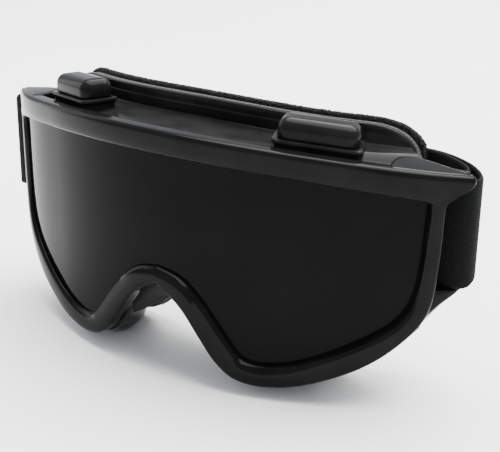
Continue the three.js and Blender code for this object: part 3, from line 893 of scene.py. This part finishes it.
# Each section lists (inset from the outline, height) over the roof, from the bottom up or inwards.
CAP_SECTION = ((0.6, 0.16), (0.25, 0.2), (0.06, 0.45), (0.0, 0.9), (0.0, 2.9), (0.12, 3.8), (0.45, 4.6),
               (0.95, 5.3), (1.6, 5.82), (2.4, 6.15), (3.3, 6.3), (4.2, 6.36), (4.75, 6.37))
LEG_LOW, LEG_HIGH = (-0.8, -1.5, -3.4), (0.8, 1.5, 1.0)
LEG_X = 6.4
LEG_BEVEL = 0.3
COLLAR_LENGTH, COLLAR_DEPTH, COLLAR_CORNER = 27.0, 12.9, 2.2
COLLAR_SECTION = ((1.0, -5.2), (0.8, -1.9), (0.6, -1.4), (0.2, -1.2), (0.0, -0.95), (0.0, -0.4), (0.12, -0.1),
                  (0.4, 0.0), (1.2, 0.02))
WELL_SECTION = ((3.6, 0.02), (4.0, -0.15), (4.1, -0.7), (4.1, -3.0))
WELL_SHORTER = 1.6  # the well under the cap stops this much further in at its two ends
WELL_HALF_DEPTH = 1.6
WELL_CORNER = 0.6
PLUG_LENGTH, PLUG_DEPTH, PLUG_CORNER = 17.4, 6.0, 1.2
PLUG_SECTION = ((0.0, -8.4), (0.0, -1.2), (1.0, -1.2), (1.0, -8.4))


def vent_frame(side):
    """Placing of a vent on the roof: yaw round the front, then lean with the arch."""
    place = Vector((side * VENT_X, VENT_Y, float(arch(VENT_CROWN, VENT_X))))
    turn = Matrix.Rotation(side * math.radians(VENT_TURN), 4, "Z")
    lean = Matrix.Rotation(side * math.asin(VENT_X / ARCH_RADIUS), 4, "Y")
    return Matrix.Translation(place) @ turn @ lean


def rounded_rect(half_x, half_y, radius, steps=8):
    """Level outline with four round corners."""
    radius = min(radius, half_x, half_y)
    points = []
    for x, y, start in ((1, 1, 0), (-1, 1, 90), (-1, -1, 180), (1, -1, 270)):
        for k in range(steps + 1):
            angle = math.radians(start + 90 * k / steps)
            points.append((x * (half_x - radius) + radius * math.cos(angle),
                           y * (half_y - radius) + radius * math.sin(angle)))
    return points


def vent_ring(side, half_x, half_y, radius, height):
    """Rounded rectangle at a height in a vent's own placing."""
    matrix = vent_frame(side)
    return [tuple(matrix @ Vector((x, y, height))) for x, y in rounded_rect(half_x, half_y, radius)]


def vent_cap(side, label):
    """Pillow-shaped cap on two legs."""
    rows = []
    for inset, height in CAP_SECTION:
        corner = max(CAP_CORNER - inset, CAP_TOP_CORNER)
        rows.append(vent_ring(side, CAP_LENGTH / 2 - inset, CAP_DEPTH / 2 - inset, corner, height))
    parts = [loft("pillow", rows, closed_rows=False)]
    for end in (-1, 1):
        matrix = vent_frame(side) @ Matrix.Translation((end * LEG_X, 0, 0))
        parts.append(soft_block("leg", LEG_LOW, LEG_HIGH, LEG_BEVEL, matrix))
    cap = join(f"vent_pillow_{label}", parts)
    dress(cap, satin_black)
    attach(cap, f"cap_{label}")
    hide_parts(f"vent_cap_{label}")


def vent_base(side, label):
    """Collar on the roof with a shallow well under the cap, and a hollow plug through the roof."""
    rows = []
    for section, shorter in ((COLLAR_SECTION, 0.0), (WELL_SECTION, WELL_SHORTER)):
        for inset, height in section:
            half_depth = max(COLLAR_DEPTH / 2 - inset, WELL_HALF_DEPTH)
            corner = max(COLLAR_CORNER - inset, WELL_CORNER)
            rows.append(vent_ring(side, COLLAR_LENGTH / 2 - inset - shorter, half_depth, corner, height))
    collar = loft("collar", rows, closed_rows=False)
    rows = []
    for inset, height in PLUG_SECTION:
        corner = PLUG_CORNER - inset / 2
        rows.append(vent_ring(side, PLUG_LENGTH / 2 - inset, PLUG_DEPTH / 2 - inset, corner, height))
    plug = loft("plug", rows)
    base = join(f"vent_collar_{label}", [collar, plug])
    dress(base, body_black_painted_light)
    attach(base, "frame")
    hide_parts(f"vent_base_{label}")


def vent_baffle(label):
    """The CAD baffle stays, in the matt inner plastic."""
    materials = frame["nodes"][f"vent_baffle_{label}"].data.materials
    materials.clear()
    materials.append(inner_black)


# ---- webbing ----
RIBS = 44
RIB_HEIGHT = 0.02
WEBBING_SKIN = 0.12  # the ribs' middle lies this far inside the full thickness
SELVEDGE = 0.45  # share of the thickness at the two edges of the webbing
SELVEDGE_RISE = 30  # share gained for each share of the width inwards
BAND_THICKNESS = 1.3
BAND_WAVES = ((0.12, 0.21, 0.0), (0.08, 0.53, 1.0))  # (height, radians per millimetre, start)
TAIL_WAVES = ((0.1, 0.3, 0.0),)
BAND_POINTS, TAIL_POINTS = 60, 24
TAIL_START = 24.0
TAIL_BEHIND = 1.75
LOOP_PATH = [(61, 57.5), (68.6, 56.3), (74.4, 53.5), (79.3, 49.9), (82.6, 46.2), (82.4, 43.4), (80.2, 42.45),
             (78, 41.5), (77.35, 39.6), (78.1, 37.5), (80.2, 36.75), (83, 36.75), (86.1, 36.75), (88.3, 37.5),
             (89.0, 39.6), (88.4, 42.4), (85.9, 46.6), (81.2, 51.6), (75.6, 55.4), (69.1, 58.2), (61, 59.4)]
LOOP_TURN = (0.5, 0.64)  # shares of LOOP_PATH where the webbing comes round the bar to its outer layer
LOOP_END = (0.72, 0.95)  # and where the outer layer lies level again
LOOP_RISE, LOOP_DROP = 3.2, 0.3  # the outer layer's lower and upper edges draw in by these
SLACK = {"left": 4.8, "right": 0.0}  # how far each outer layer bulges past its bar
BULGE_START, BULGE_END = (0.44, 0.58), (0.64, 0.84)
BULGE_OUT, BULGE_FORWARD = 0.85, 0.2
SAG = 3.5 / 2.2  # drop of a bulging layer for each millimetre of slack
STRETCH_FROM, STRETCH_TO = (84.0, 46.0), (66.0, BAND_Y)  # where a pulled strap end would stretch; side_webbing computes these two points but does not use them
TAIL_BEND_FROM, TAIL_BEND_TO = 58, 30  # and where the tail would follow the slider; loose_tail computes these two points but does not use them


def web_strip(name, path, low, high, thickness=WEBBING):
    """Ribbed elastic that follows a plan path, with low and high edges that may vary along it."""
    along = np.gradient(path, axis=0)
    along /= np.linalg.norm(along, axis=1)[:, None]
    normal = np.stack([along[:, 1], -along[:, 0]], axis=1)
    low, high = np.broadcast_to(low, len(path)), np.broadcast_to(high, len(path))
    shares = np.linspace(0.0, 1.0, 4 * RIBS + 1)
    rows = []
    for face, order in ((1, shares), (-1, shares[::-1])):
        for share in order:
            rib = RIB_HEIGHT * math.cos(2 * math.pi * RIBS * share)
            thinned = min(1.0, SELVEDGE + SELVEDGE_RISE * min(share, 1 - share))
            half = (thickness / 2 - WEBBING_SKIN + rib) * thinned
            shift = path + normal * (face * half)
            rows.append(np.stack([shift[:, 0], shift[:, 1], mixed(low, high, share)], axis=1))
    return folded(name, rows)


def side_webbing(side, label):
    """End of the strap: out from the band, round the bar and back to the band outside itself."""
    path = even(catmull(LOOP_PATH, count=220), count=110)
    travel = np.linspace(0.0, 1.0, len(path))
    outward = SLACK[label] * smoothstep(travel, *BULGE_START) * (1.0 - smoothstep(travel, *BULGE_END))
    path[:, 0] += outward * BULGE_OUT
    path[:, 1] -= outward * BULGE_FORWARD
    path[:, 0] *= side
    if side < 0:
        path = path[::-1]
        travel = travel[::-1]
    turn = smoothstep(travel, *LOOP_TURN)
    outer = turn * (1.0 - smoothstep(travel, *LOOP_END))
    sag = SAG * SLACK[label] * outer
    piece = web_strip(f"webbing_{label}", path, STRAP_LOW + LOOP_RISE * outer - sag,
                      STRAP_TOP - LOOP_DROP * turn - sag)
    dress(piece, webbing_black)
    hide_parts(f"strap_end_{label}")
    start, end = (world((side * x, y, STRAP_MIDDLE)) for x, y in (STRETCH_FROM, STRETCH_TO))
    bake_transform(piece)


def wavy(x, y, waves):
    """Plan path along x that wanders a little about y."""
    return np.stack([x, y + sum(height * np.sin(x * rate + start) for height, rate, start in waves)], axis=1)


def back_band():
    """Run of the strap behind the head."""
    path = wavy(np.linspace(-BAND_END, BAND_END, BAND_POINTS), BAND_Y, BAND_WAVES)
    band = web_strip("webbing_back", path, STRAP_LOW, STRAP_TOP, BAND_THICKNESS)
    dress(band, webbing_black)
    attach(band, "strap")
    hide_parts("strap_band")


def loose_tail():
    """Loose end of the strap, behind the band from the slider on."""
    path = wavy(np.linspace(TAIL_START, BAND_END, TAIL_POINTS), BAND_Y + TAIL_BEHIND, TAIL_WAVES)
    tail = web_strip("webbing_tail", path, STRAP_LOW, STRAP_TOP, BAND_THICKNESS)
    dress(tail, webbing_black)
    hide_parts("strap_tail")
    start, end = (world((x, BAND_Y, STRAP_MIDDLE)) for x in (TAIL_BEND_FROM, TAIL_BEND_TO))
    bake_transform(tail)


SLIDER_LEFT, SLIDER_RIGHT = 9.0, 31.0
SLIDER_MARGIN = 2.3
SLIDER_BAR = 3.0
SLIDER_ROD = 2.0
SLIDER_BEVEL = 0.6
SLIDER_PLAY = 0.6


def slider_buckle():
    """Strap slider: two rails, two bars on the face's side of the webbing and one outside it."""
    near = BAND_Y - WEBBING / 2 - SLIDER_MARGIN
    far = BAND_Y + 1.5 * WEBBING + SLIDER_PLAY
    low, high = STRAP_LOW - SLIDER_MARGIN, STRAP_TOP + SLIDER_MARGIN
    middle = (SLIDER_LEFT + SLIDER_RIGHT - SLIDER_BAR) / 2
    boxes = [((SLIDER_LEFT, near, z), (SLIDER_RIGHT, far + SLIDER_ROD, z + SLIDER_ROD))
             for z in (low, high - SLIDER_ROD)]
    boxes += [((x, near, low), (x + SLIDER_BAR, near + SLIDER_ROD, high))
              for x in (SLIDER_LEFT, SLIDER_RIGHT - SLIDER_BAR)]
    boxes.append(((middle, far, low), (middle + SLIDER_BAR, far + SLIDER_ROD, high)))
    blocks = [soft_block("slider_part", box_low, box_high, SLIDER_BEVEL) for box_low, box_high in boxes]
    piece = join("slider_buckle", blocks)
    dress(piece, satin_black)
    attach(piece, "slider")
    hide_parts("strap_slider")


# ---- studio ----
CAMERA_PLACE = (205.68, -257.64, 144.0)
CAMERA_AZIMUTH, CAMERA_ELEVATION, CAMERA_ROLL = 33.819, 21.289, 0.651
CAMERA_LENS, CAMERA_SENSOR = 81.9072, 36.0
CAMERA_SHIFT = (0.0158, 0.0141)
LIGHT_AIM = (0, 0, 0.04)
FLOOR_SIZE = 8.0
FLOOR_GAP = 0.0004


def camera():
    """The photograph's viewing angle: from the right and a little above, in front of the goggles."""
    azimuth, elevation, roll = (math.radians(a) for a in (CAMERA_AZIMUTH, CAMERA_ELEVATION, CAMERA_ROLL))
    back = Vector((math.sin(azimuth) * math.cos(elevation), -math.cos(azimuth) * math.cos(elevation),
                   math.sin(elevation)))
    right = Vector((math.cos(azimuth), math.sin(azimuth), 0.0))
    up = back.cross(right)
    right_rolled = right * math.cos(roll) + up * math.sin(roll)
    up_rolled = up * math.cos(roll) - right * math.sin(roll)
    data = bpy.data.cameras.new("camera")
    data.sensor_width = CAMERA_SENSOR
    data.lens = CAMERA_LENS
    data.shift_x, data.shift_y = CAMERA_SHIFT
    data.clip_start = 0.01
    data.clip_end = 50.0
    obj = bpy.data.objects.new("camera", data)
    place = Vector(world(CAMERA_PLACE).tolist())
    rotation = Matrix((right_rolled, up_rolled, back)).transposed().to_4x4()
    obj.matrix_world = Matrix.Translation(place) @ rotation
    bpy.context.scene.collection.objects.link(obj)
    bpy.context.scene.camera = obj


def floor():
    """Pale paper just under the object."""
    bpy.ops.mesh.primitive_plane_add(size=FLOOR_SIZE, location=(0, 0, -FLOOR_GAP))
    paper = bpy.context.active_object
    paper.name = "floor"
    paper.data.materials.append(floor_paper("floor_paper"))


def sky():
    """Even, slightly cool light from all round."""
    studio_world = bpy.data.worlds.new("studio")
    studio_world.use_nodes = True
    background = studio_world.node_tree.nodes["Background"]
    background.inputs["Color"].default_value = (0.93, 0.95, 1.0, 1)
    background.inputs["Strength"].default_value = 1.05
    bpy.context.scene.world = studio_world


def area_light(name, place, width, height, power):
    """Soft light that faces the object."""
    data = bpy.data.lights.new(name, "AREA")
    data.shape = "RECTANGLE"
    data.size = width
    data.size_y = height
    data.energy = power
    obj = bpy.data.objects.new(name, data)
    obj.location = place
    obj.rotation_euler = (Vector(LIGHT_AIM) - Vector(place)).to_track_quat("-Z", "Y").to_euler()
    bpy.context.scene.collection.objects.link(obj)


camera()
front_frame()
lens_pane()
face_shell()
face_cushion()
for vent_side, vent_label in ((-1, "left"), (1, "right")):
    vent_cap(vent_side, vent_label)
    vent_base(vent_side, vent_label)
    vent_baffle(vent_label)
    side_webbing(vent_side, vent_label)
back_band()
loose_tail()
slider_buckle()
floor()
sky()
area_light("key_top", (0.1, 0.45, 1.3), width=1.7, height=1.7, power=120.0)
area_light("side_left", (-1.2, -0.1, 0.5), width=0.6, height=0.9, power=4.0)
